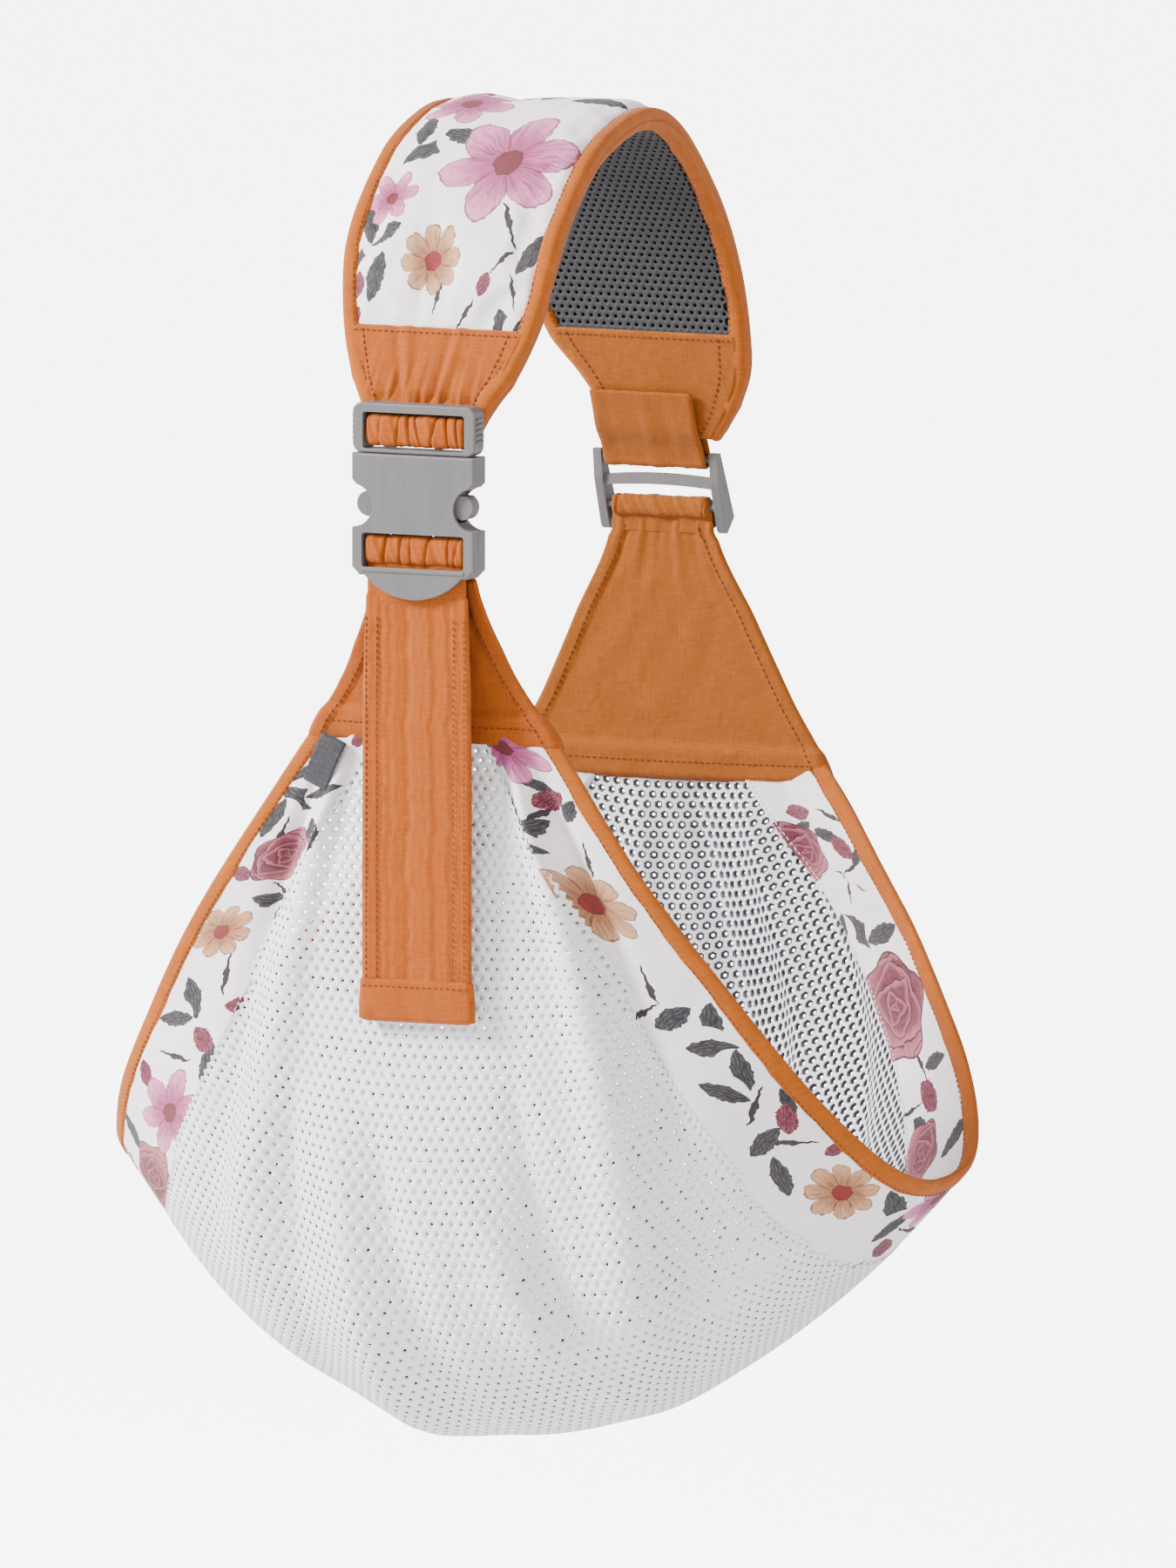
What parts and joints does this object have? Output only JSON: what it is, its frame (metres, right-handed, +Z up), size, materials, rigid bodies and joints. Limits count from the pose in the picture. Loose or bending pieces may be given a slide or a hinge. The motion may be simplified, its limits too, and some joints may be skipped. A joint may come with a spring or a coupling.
{
  "type": "soft baby carrier",
  "caption": "One-shoulder baby sling: padded shoulder arch, side-release buckle and ladder-lock adjuster, and a mesh hammock pouch with printed, bound sides.",
  "frame": {"origin": "crown of the pad's underside, on the mid-plane, where the carrier rests on the shoulder", "axes": "+Z up, -Y towards the front (the buckle side), X across the strap"},
  "size_m": [0.4346, 0.2968, 0.634],
  "materials": {
    "print_cotton": "plain-weave cotton printed with flowers and leaves",
    "mustard_cotton": "plain-weave cotton",
    "mustard_tape": "folded cotton bias tape with a stitched edge",
    "white_mesh": "open white spacer mesh with staggered oval holes",
    "grey_mesh": "dark grey air mesh with small staggered holes",
    "foam": "soft open-cell foam wrapped in felt",
    "grey_plastic": "moulded acetal, satin",
    "grey_ribbon": "satin ribbon"
  },
  "bodies": {
    "shoulder": {"pad_cover": "print_cotton", "pad_foam": "foam", "pad_lining": "grey_mesh", "front_end_panel": "mustard_cotton", "rear_end_panel": "mustard_cotton", "pad_binding_left": "mustard_tape", "pad_binding_right": "mustard_tape", "front_pad_strap": "mustard_cotton", "rear_pad_strap": "mustard_cotton", "buckle_plug": "grey_plastic"},
    "prong_left": {"prong_left": "grey_plastic"},
    "prong_right": {"prong_right": "grey_plastic"},
    "socket": {"buckle_socket": "grey_plastic", "front_strap_roll": "mustard_cotton"},
    "tail": {"tail_strap": "mustard_cotton", "tail_hem": "mustard_cotton"},
    "pouch": {"front_neck": "mustard_cotton", "rear_neck": "mustard_cotton", "pouch_mesh": "white_mesh", "pouch_print_left": "print_cotton", "pouch_print_right": "print_cotton", "pouch_binding_left": "mustard_tape", "pouch_binding_right": "mustard_tape", "side_tab": "grey_ribbon", "front_strap_run": "mustard_cotton", "rear_strap_run": "mustard_cotton"},
    "adjuster": {"rear_adjuster": "grey_plastic", "rear_strap_roll": "mustard_cotton"}
  },
  "joints": [
    {"name": "prong_left_squeeze", "type": "hinge", "parent": "shoulder", "child": "prong_left", "pos_m": [-0.0214, -0.14, -0.1482], "axis": [0, -1, 0], "range_deg": [0, 10], "stiffness_Nm_per_rad": 1.5},
    {"name": "prong_right_squeeze", "type": "hinge", "parent": "shoulder", "child": "prong_right", "pos_m": [0.0214, -0.14, -0.1482], "axis": [0, 1, 0], "range_deg": [0, 10], "stiffness_Nm_per_rad": 1.5},
    {"name": "buckle_pull", "type": "slide", "parent": "shoulder", "child": "socket", "axis": [0, 0, -1], "range_m": [0, 0.036], "deforming": ["prong_left", "prong_right", "front_strap_run"]},
    {"name": "tail_swing", "type": "hinge", "parent": "socket", "child": "tail", "pos_m": [0, -0.1415, -0.21785], "axis": [-1, 0, 0], "range_deg": [0, 75]},
    {"name": "strap_let_out", "type": "slide", "parent": "shoulder", "child": "pouch", "axis": [0, 0, -1], "range_m": [0, 0.06], "deforming": ["front_strap_run", "rear_strap_run"]},
    {"name": "adjuster_tilt", "type": "hinge", "parent": "shoulder", "child": "adjuster", "pos_m": [0, 0.13075, -0.1955], "axis": [1, 0, 0], "range_deg": [0, 20], "stiffness_Nm_per_rad": 0.06, "deforming": ["rear_pad_strap"]}
  ]
}
